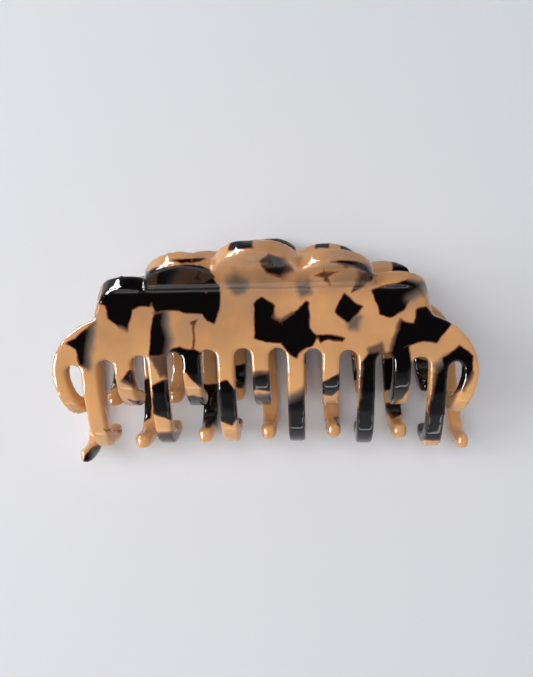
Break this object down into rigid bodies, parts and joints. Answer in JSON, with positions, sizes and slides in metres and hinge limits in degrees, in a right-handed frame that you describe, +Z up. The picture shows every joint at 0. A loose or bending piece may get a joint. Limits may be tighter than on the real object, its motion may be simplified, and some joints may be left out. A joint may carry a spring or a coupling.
{
  "type": "claw clip",
  "caption": "Scalloped claw clip for hair: mirrored bent jaws with crossing curved teeth, on a sprung hinge pin.",
  "frame": {"origin": "on the floor under the middle of the closed clip as it lies on its back jaw", "axes": "+X along the hinge pin and the clip's length, +Y from the tooth tips towards the handles, +Z up from the floor through the front jaw"},
  "size_m": [0.1039, 0.0628, 0.0498],
  "materials": {
    "acetate": "polished cellulose acetate, honey with black and brown tortoiseshell patches",
    "dark_acetate": "polished dark brown acetate",
    "steel": "drawn spring steel and turned pin, plain"
  },
  "bodies": {
    "back": {"back_jaw": "acetate", "back_lug_left": "dark_acetate", "back_lug_right": "dark_acetate", "hinge_pin": "steel", "spring": "steel"},
    "front": {"front_jaw": "acetate", "front_lug_left": "dark_acetate", "front_lug_right": "dark_acetate"}
  },
  "joints": [
    {"name": "jaw_hinge", "type": "hinge", "parent": "back", "child": "front", "pos_m": [0, 0.01234, 0.02198], "axis": [-1, 0, 0], "range_deg": [0, 60], "stiffness_Nm_per_rad": 0.1, "springref_deg": -85.94, "deforming": ["spring"]}
  ]
}
